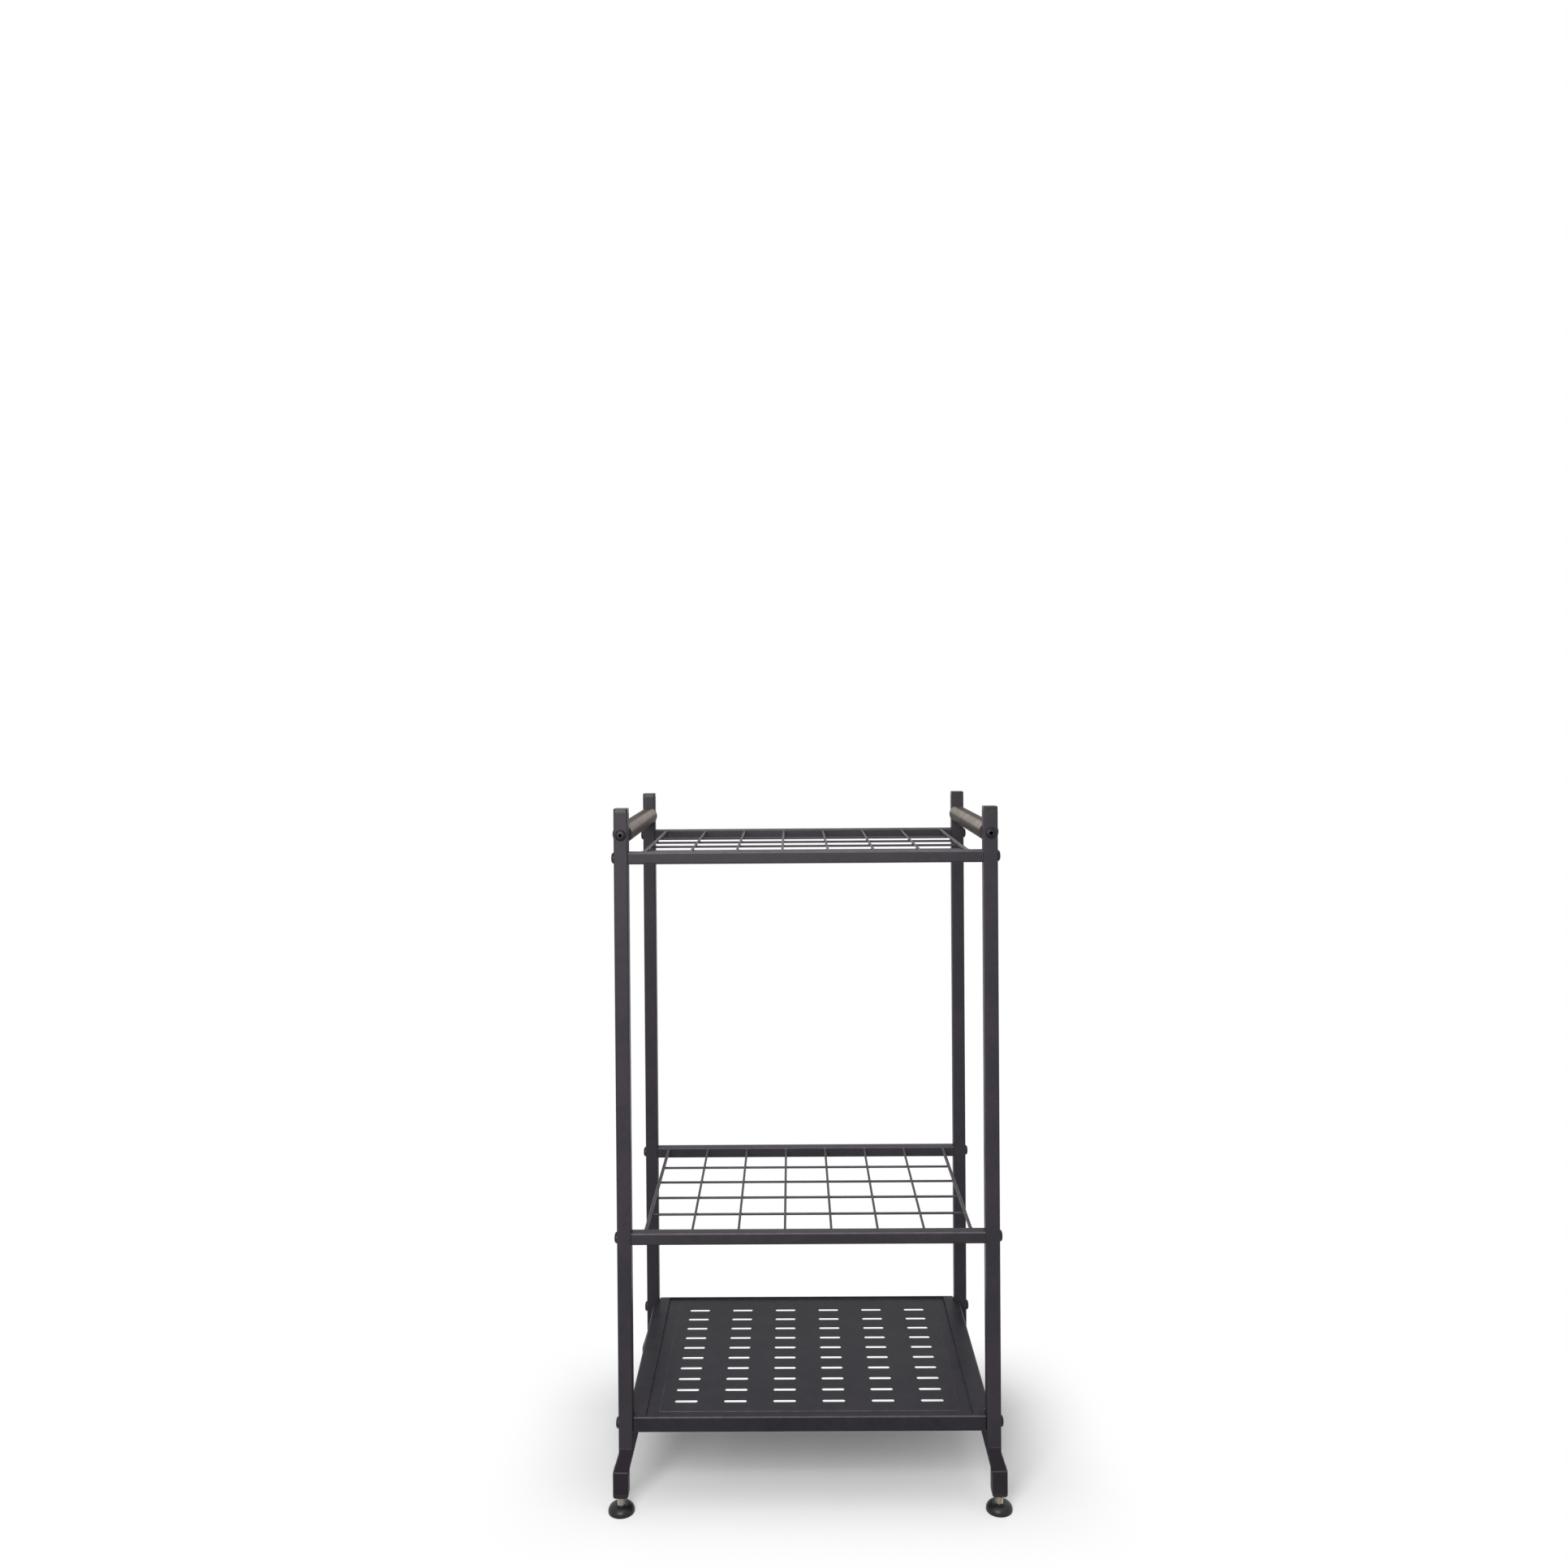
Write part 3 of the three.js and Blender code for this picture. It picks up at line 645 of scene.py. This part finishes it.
def buildStud(corner):
    size = studShape
    node = corner + "_foot_stud"
    low, high, middle = placeOf(node)
    pitch, steps = size["pitch"], size["stepsPerTurn"]
    radius, root, crest = size["radius"], size["rootRadius"], size["crest"]
    threadLow = size["threadLow"]
    turns = math.ceil((high.z - threadLow) / pitch) + size["turnsBelow"] + size["turnsAbove"]
    start = threadLow - size["turnsBelow"] * pitch
    profile = [(root, 0), (radius, (pitch - crest) / 2), (radius, (pitch + crest) / 2), (root, pitch)]
    bm = bmesh.new()
    verts = [bm.verts.new((r, 0, start + z)) for r, z in profile]
    edges = [bm.edges.new(pair) for pair in zip(verts, verts[1:])]
    bmesh.ops.spin(bm, geom=verts + edges, cent=(0, 0, 0), axis=(0, 0, 1), dvec=(0, 0, pitch / steps),
                   angle=fullTurn * turns, steps=steps * turns, use_merge=False)
    bmesh.ops.remove_doubles(bm, verts=bm.verts, dist=weldDistance)
    for z, bottom in ((threadLow, True), (high.z, False)):
        bmesh.ops.bisect_plane(bm, geom=bm.verts[:] + bm.edges[:] + bm.faces[:], plane_co=(0, 0, z),
                               plane_no=(0, 0, 1), clear_inner=bottom, clear_outer=not bottom)
    bmesh.ops.holes_fill(bm, edges=openEdges(bm), sides=0)
    headTop, neckTop = low.z + size["headHeight"], size["neckTop"]
    turned(bm, [(0, low.z), (size["headRadius"], low.z), (size["headRadius"], headTop),
                (size["neckRadius"], headTop), (size["neckRadius"], neckTop), (0, neckTop)],
           size["headSides"])
    placed(bm, middle)
    closedPiece(corner + "_threaded_stud", bm, "zinc_steel", corner + "_stud", node)


# Pads: moulded domes that hold the stud's head

padShape = {
    "radius": 16.8, "edge": 2.1, "edgeRadius": 0.6, "edgeSteps": 3, "neckRadius": 8.0, "neckRound": 0.5,
    "domeSteps": 12, "boreRadius": 5.3, "headTop": 6.6, "headBore": 7.3, "sole": 3, "sides": 72,
}


def buildPad(corner):
    size = padShape
    node = corner + "_foot_pad"
    high, middle = placeOf(node)[1:]
    height, radius, neck = high.z, size["radius"], size["neckRadius"]
    edge, soft = size["edge"], size["edgeRadius"]
    bore, headTop, headBore, sole = size["boreRadius"], size["headTop"], size["headBore"], size["sole"]
    profile = [
        (0, 0), *arc((radius - soft, soft), (soft, soft), -quarterTurn, size["edgeSteps"]),
        *arc((neck, edge), (radius - neck, height - edge), 0, size["domeSteps"]),
        (neck - size["neckRound"], height), (bore, height), (bore, headTop), (headBore, headTop),
        (headBore, sole), (0, sole),
    ]
    bm = bmesh.new()
    turned(bm, profile, size["sides"])
    placed(bm, middle)
    closedPiece(corner + "_levelling_pad", bm, "black_plastic", corner + "_pad", node)


# Button-head bolts, drawn with the underside of the head at zero

boltShape = {
    "radius": 3, "headRadius": 7, "headHeight": 3.4, "rim": 0.8, "domeSteps": 8, "flatRadius": 3.1,
    "socketAcross": 4.6, "socketDepth": 2, "shank": 30.6, "tip": 0.8, "sides": 42, "hexSides": 6,
}


def buildBolt(name, node, outward):
    size = boltShape
    low, high, middle = placeOf(node)
    radius, tip, shank, rim = size["radius"], size["tip"], size["shank"], size["rim"]
    headRadius, headHeight, flatRadius = size["headRadius"], size["headHeight"], size["flatRadius"]
    profile = [
        (0, -shank), (radius - tip, -shank), (radius, tip - shank), (radius, -seatClosing),
        (headRadius, -seatClosing),
        *arc((flatRadius, rim), (headRadius - flatRadius, headHeight - rim), 0, size["domeSteps"]),
    ]
    bm = bmesh.new()
    turned(bm, profile, size["sides"])
    bmesh.ops.remove_doubles(bm, verts=bm.verts, dist=weldDistance)
    opening = openEdges(bm)
    hexRadius = size["socketAcross"] / 2 / math.cos(math.pi / size["hexSides"])
    hexEdges = ring(bm, hexRadius, size["hexSides"], headHeight)
    bmesh.ops.bridge_loops(bm, edges=opening + hexEdges)
    walls = bmesh.ops.extrude_edge_only(bm, edges=hexEdges)["geom"]
    bmesh.ops.translate(bm, vec=(0, 0, -size["socketDepth"]), verts=vertsIn(walls))
    bmesh.ops.holes_fill(bm, edges=openEdges(bm), sides=0)
    reach = max(abs(low.dot(outward)), abs(high.dot(outward))) - headHeight
    place = Vector([reach * way if way else middle[i] for i, way in enumerate(outward)])
    bmesh.ops.transform(bm, matrix=pointing(place, outward), verts=bm.verts)
    closedPiece(name, bm, "black_screw", "rack", node)


# Shelves: two square bars, side rods and cross wires, with the long wires under them

shelfShape = {
    "barSide": 15.4, "corner": 2.6, "cornerSteps": 6, "barEndRadius": 0.5, "weldSink": 0.5,
    "wireRadius": 1.6, "rodRadius": 2.25, "wireSides": 20, "wireGap": 0.3, "rodInset": 16.3,
    "crossWires": 6, "longWires": 4, "wireEndRadius": 0.5,
    "filletGrow": 1.0, "filletToe": 0.05, "filletLength": 1.3, "filletSides": 14,
    "beadRadius": 1.7, "beadHeight": 1.35, "beadSides": 10, "beadRings": 6,
}


def addBar(bm, y, z, reach):
    size = shelfShape
    before = set(bm.verts)
    side = size["barSide"]
    steppedPost(bm, [(side, 0, 0, -reach), (side, 0, 0, reach)], size["corner"], size["cornerSteps"])
    ends = [face for end in (-reach, reach) for face in flatFaces(bm, end) if face.verts[0] not in before]
    soften(bm, edgesOf(ends), size["barEndRadius"], fineSteps)
    moved(bm, before, Matrix.Translation((0, y, z)) @ Matrix.Rotation(quarterTurn, 4, "Y"))


def addFillet(bm, x, face, toward, z, radius):
    # a small weld fillet where a wire meets a bar
    size = shelfShape
    centre = (x, face + toward * size["filletLength"] / 2, z)
    bmesh.ops.create_cone(bm, cap_ends=True, cap_tris=False, segments=size["filletSides"],
                          radius1=radius + size["filletGrow"], radius2=radius + size["filletToe"],
                          depth=size["filletLength"], matrix=pointing(centre, (0, toward, 0)))


def addBead(bm, place):
    # a spot weld where two wires cross
    size = shelfShape
    stretch = Matrix.Diagonal((size["beadRadius"], size["beadRadius"], size["beadHeight"], 1))
    bmesh.ops.create_uvsphere(bm, u_segments=size["beadSides"], v_segments=size["beadRings"], radius=1,
                              matrix=Matrix.Translation(place) @ stretch)


def buildShelf(shelf):
    size = shelfShape
    node = shelf + "_frame"
    high, middle = placeOf(node)[1:]
    wires = [f"{shelf}_long_wire_{i + 1}" for i in range(size["longWires"])]
    barY = high.y - size["barSide"] / 2
    face = barY - size["barSide"] / 2
    bm = bmesh.new()
    for side in (-1, 1):
        addBar(bm, side * barY, middle.z, high.x + seatClosing)
    rodX = high.x - size["rodInset"]
    pitch = 2 * rodX / (size["crossWires"] + 1)
    gap = size["wireGap"] / 2
    gridZ = placeOf(wires[0])[1].z + gap
    for i in range(size["crossWires"] + 2):
        radius = size["rodRadius"] if i in (0, size["crossWires"] + 1) else size["wireRadius"]
        x, z = i * pitch - rodX, gridZ + gap + radius
        reach = face + size["weldSink"]
        rod(bm, radius, (x, -reach, z), (x, reach, z), size["wireSides"])
        for side in (-1, 1):
            addFillet(bm, x, side * face, -side, z, radius)
        for wire in wires:
            addBead(bm, (x, placeOf(wire)[2].y, gridZ))
    evenShading(closedPiece(shelf + "_welded_frame", bm, "coated_steel", "rack", node))
    for i, wire in enumerate(wires):
        low, high, middle = placeOf(wire)
        bm = bmesh.new()
        rod(bm, size["wireRadius"], (low.x, middle.y, middle.z), (high.x, middle.y, middle.z),
            size["wireSides"], size["wireEndRadius"])
        closedPiece(f"{shelf}_wire_{i + 1}", bm, "coated_steel", "rack", wire)


# Tray: one folded sheet with a recessed floor, a raised slotted panel and deep lips

trayShape = {
    "sheet": 1.2, "rim": 2.5, "recess": 2.5, "sideLedge": 15.2, "sideGap": 0.6,
    "innerX": 223.2, "innerY": 153.7, "floorCorner": 3.5, "cornerSteps": 5,
    "wallLean": 0.3, "wallRadius": 0.3, "seamWidth": 1.8, "seamDepth": 0.9,
    "panelRise": 0.6, "panelInsetX": 17, "panelInsetY": 14.45, "panelStep": 0.5,
    "columns": 6, "rows": 10, "slotLength": 29, "slotWidth": 7, "slotRound": 2.3, "slotSteps": 5,
    "fieldShare": 0.93, "slotEdge": 0.22, "slotEdgeLimit": 60, "bendRadius": 2.4, "bendSteps": 5,
    "postSlack": 1, "nutRadius": 6, "nutLength": 8, "nutDrop": 10.5, "nutSides": 32, "nutEdge": 0.5,
}


def trayOutline(wideX, wideY, innerX, narrowY):
    # the rim with its four notches for the uprights
    first = [(wideX, narrowY), (innerX, narrowY), (innerX, wideY)]
    second = [(-x, y) for x, y in reversed(first)]
    return first + second + [(-x, -y) for x, y in first + second]


def loopScaled(bm, edges, start, end, z):
    # a new loop from an edge loop with half sizes start to one with half sizes end
    made = bmesh.ops.extrude_edge_only(bm, edges=edges)["geom"]
    verts = vertsIn(made)
    bmesh.ops.scale(bm, vec=(end[0] / start[0], end[1] / start[1], 1), verts=verts)
    bmesh.ops.translate(bm, vec=(0, 0, z), verts=verts)
    return edgesIn(made)


def slotOpenings(bm, panelX, panelY, size):
    slots = []
    pitchX = 2 * panelX / size["columns"]
    pitchY = 2 * panelY * size["fieldShare"] / size["rows"]
    for column in range(size["columns"]):
        for row in range(size["rows"]):
            x = (column - (size["columns"] - 1) / 2) * pitchX
            y = (row - (size["rows"] - 1) / 2) * pitchY
            slots.append(roundedFace(bm, size["slotLength"], size["slotWidth"], size["slotRound"],
                                     size["slotSteps"], x, y, size["panelRise"] - size["recess"]))
    edges = edgesOf(slots)
    removeFaces(bm, slots)
    return edges


def filledBetween(bm, edges):
    bmesh.ops.triangle_fill(bm, use_beauty=True, use_dissolve=False, edges=edges, normal=(0, 0, 1))


def facedUp(bm):
    bmesh.ops.recalc_face_normals(bm, faces=bm.faces)
    if sum(face.normal.z * face.calc_area() for face in bm.faces) < 0:
        bmesh.ops.reverse_faces(bm, faces=bm.faces)


def thickened(piece, size):
    sheet = piece.modifiers.new("sheet", "SOLIDIFY")
    sheet.thickness, sheet.offset, sheet.use_even_offset = size["sheet"] * toMetres, -1, True
    rims = piece.modifiers.new("softRims", "BEVEL")
    rims.width, rims.segments, rims.limit_method = size["slotEdge"] * toMetres, fineSteps, "ANGLE"
    rims.angle_limit = math.radians(size["slotEdgeLimit"])
    evenShading(piece)


def buildTray():
    size = trayShape
    low, high = placeOf("slotted_tray")[:2]
    depth, wideX, wideY = high.z - low.z, high.x, high.y
    floorX, floorY = size["innerX"] - size["sideLedge"], wideY - size["rim"]
    panelX, panelY = floorX - size["panelInsetX"], floorY - size["panelInsetY"]
    bm = bmesh.new()
    outline = trayOutline(wideX, wideY, size["innerX"], size["innerY"] - size["sideGap"])
    verts = [bm.verts.new((x, y, 0)) for x, y in outline]
    outer = [bm.edges.new(pair) for pair in zip(verts, verts[1:] + verts[:1])]
    hole = roundedFace(bm, 2 * floorX, 2 * floorY, size["floorCorner"], size["cornerSteps"])
    inner = list(hole.edges)
    removeFaces(bm, [hole])
    filledBetween(bm, outer + inner)
    lean, step = size["wallLean"], size["panelStep"]
    seam = lean + size["seamWidth"]
    halves = [(floorX, floorY), (floorX - lean, floorY - lean), (floorX - seam, floorY - seam),
              (panelX + step, panelY + step), (panelX, panelY)]
    foot = loopScaled(bm, inner, halves[0], halves[1], -size["recess"] - size["seamDepth"])
    brink = loopScaled(bm, foot, halves[1], halves[2], size["seamDepth"])
    ledge = loopScaled(bm, brink, halves[2], halves[3], 0)
    edge = loopScaled(bm, ledge, halves[3], halves[4], size["panelRise"])
    filledBetween(bm, edge + slotOpenings(bm, panelX, panelY, size))
    lips = bmesh.ops.extrude_edge_only(bm, edges=outer)["geom"]
    bmesh.ops.translate(bm, vec=(0, 0, -depth), verts=vertsIn(lips))
    facedUp(bm)
    tall = depth - size["postSlack"]
    posts = [item for item in bm.edges if abs(item.verts[0].co.z - item.verts[1].co.z) > tall]
    soften(bm, outer + posts, size["bendRadius"], size["bendSteps"])
    soften(bm, [item for item in brink if item.is_valid], size["wallRadius"], softSteps)
    bmesh.ops.translate(bm, vec=(0, 0, high.z), verts=bm.verts)
    thickened(newPiece("bottom_tray", bm, "coated_steel", "rack", "slotted_tray", finish="tray_coat_painted_shade"), size)


def buildTrayNuts():
    # nuts welded behind the side lips, where the bolts come in
    size = trayShape
    z = placeOf("slotted_tray")[1].z - size["nutDrop"]
    across = placeOf("front_left_upright")[2].y
    seat = size["innerX"] - size["sheet"]
    bm = bmesh.new()
    for x in (-1, 1):
        for y in (-1, 1):
            rod(bm, size["nutRadius"], (x * seat, y * across, z),
                (x * (seat - size["nutLength"]), y * across, z), size["nutSides"], size["nutEdge"])
    closedPiece("tray_weld_nuts", bm, "coated_steel", "rack", finish="tray_coat_painted_shade")


# Side rails: round tubes near the top

railShape = {"sides": 72, "endRadius": 0.6}


def buildRail(side):
    node = side + "_side_rail"
    low, high, middle = placeOf(node)
    bm = bmesh.new()
    rod(bm, (high.x - low.x) / 2, (middle.x, low.y - seatClosing, middle.z),
        (middle.x, high.y + seatClosing, middle.z), railShape["sides"], railShape["endRadius"])
    evenShading(closedPiece(side + "_round_rail", bm, "coated_steel", "rack", node, finish="rail_coat_painted_highlight"))


for corner, sideX, sideY in corners:
    buildUpright(corner)
    buildCap(corner)
    buildShoe(corner, sideX)
    buildInsert(corner)
    buildStud(corner)
    buildPad(corner)
    for level in ("top_shelf", "middle_shelf", "tray"):
        buildBolt(f"{level}_button_bolt_{corner}", f"{level}_bolt_{corner}", Vector((sideX, 0, 0)))
    buildBolt(corner + "_rail_button_screw", corner + "_rail_screw", Vector((0, sideY, 0)))
print("legs, feet and bolts built")
buildShelf("top_shelf")
buildShelf("middle_shelf")
print("shelves built")
buildTray()
buildTrayNuts()
print("tray built")
buildRail("left")
buildRail("right")
print("rails built")


# Floor, world and lamps; the floor is matt by the rack and clears to white away from it

studio = {
    "floorHalf": 6.0, "floorDrop": 0.0002,
    "floorColour": ink(236, 236, 236), "bounceColour": ink(130, 130, 130), "whiteColour": (1, 1, 1, 1),
    "clearAcross": (0.26, 0.44, 1.0, 0.0), "clearAlong": (0.06, 0.30, 1.0, 0.0),
    # painted pool of light: the floor glows white behind the middle, inside the tray's shadow
    "paintedPoolAcross": (0.16, 0.28, 1.0, 0.0), "paintedPoolAlong": (0.01, 0.12, 0.0, 1.0),
    "ambient": 0.48, "white": 1.0,
}
lamps = [
    {"name": "frontLamp", "place": (-0.4, -1.7, 1.3), "aim": (0, 0, 0.8), "size": 1.0, "power": 35},
    {"name": "topLamp", "place": (0.0, -0.1, 2.6), "aim": (0, 0, 0.3), "size": 1.8, "power": 14},
]


def seenRays(tree):
    # rays of the camera, also when they come by way of a reflection or through something clear
    rays = addNode(tree, "ShaderNodeLightPath").outputs
    indirect = sums(tree, "MAXIMUM", rays["Is Glossy Ray"], rays["Is Transmission Ray"])
    return sums(tree, "MAXIMUM", rays["Is Camera Ray"], indirect)


def whiteShare(tree):
    # away from the rack, and in a painted pool of light behind the middle, which lifts the tray's shadow
    # where it is seen through the slots
    vector = addNode(tree, "ShaderNodeTexCoord").outputs["Object"]
    place = addNode(tree, "ShaderNodeSeparateXYZ", {0: vector}).outputs
    across, along = sums(tree, "ABSOLUTE", place["X"]), sums(tree, "ABSOLUTE", place["Y"])
    near = product(tree, spread(tree, across, *studio["clearAcross"]),
                   spread(tree, along, *studio["clearAlong"]))
    paintedLightPool = product(tree, spread(tree, across, *studio["paintedPoolAcross"]),
                   spread(tree, place["Y"], *studio["paintedPoolAlong"]))
    return sums(tree, "MAXIMUM", sums(tree, "SUBTRACT", 1.0, near), paintedLightPool)


def floorPaint():
    material = bpy.data.materials.new("paleFloor")
    tree = clearedTree(material)
    seen = seenRays(tree)
    paint = mixColour(tree, seen, studio["bounceColour"], studio["floorColour"])
    matt = addNode(tree, "ShaderNodeBsdfDiffuse", {"Color": paint}).outputs[0]
    glow = addNode(tree, "ShaderNodeEmission", {
        "Color": studio["whiteColour"], "Strength": studio["white"]}).outputs[0]
    mixed = mixSurface(tree, product(tree, whiteShare(tree), seen), matt, glow)
    addNode(tree, "ShaderNodeOutputMaterial", {"Surface": mixed})
    return material


def addFloor():
    bm = bmesh.new()
    bmesh.ops.create_grid(bm, x_segments=1, y_segments=1, size=studio["floorHalf"])
    bmesh.ops.translate(bm, vec=(0, 0, -studio["floorDrop"]), verts=bm.verts)
    mesh = bpy.data.meshes.new("floor")
    bm.to_mesh(mesh)
    bm.free()
    mesh.materials.append(floorPaint())
    floor = bpy.data.objects.new("floor", mesh)
    scene.collection.objects.link(floor)


def addWorld():
    world = bpy.data.worlds.new("studio")
    tree = clearedTree(world)
    soft, white = [addNode(tree, "ShaderNodeBackground", {
        "Color": studio["whiteColour"], "Strength": studio[key]}).outputs[0] for key in ("ambient", "white")]
    addNode(tree, "ShaderNodeOutputWorld", {"Surface": mixSurface(tree, seenRays(tree), soft, white)})
    scene.world = world


def addLamp(lamp):
    data = bpy.data.lights.new(lamp["name"], "AREA")
    data.shape = "SQUARE"
    data.size = lamp["size"]
    data.energy = lamp["power"]
    light = bpy.data.objects.new(lamp["name"], data)
    place = Vector(lamp["place"])
    turn = (Vector(lamp["aim"]) - place).to_track_quat("-Z", "Y").to_matrix().to_4x4()
    light.matrix_world = Matrix.Translation(place) @ turn
    scene.collection.objects.link(light)


addFloor()
addWorld()
for lamp in lamps:
    addLamp(lamp)
scene.view_settings.view_transform = "Standard"
print("studio set")
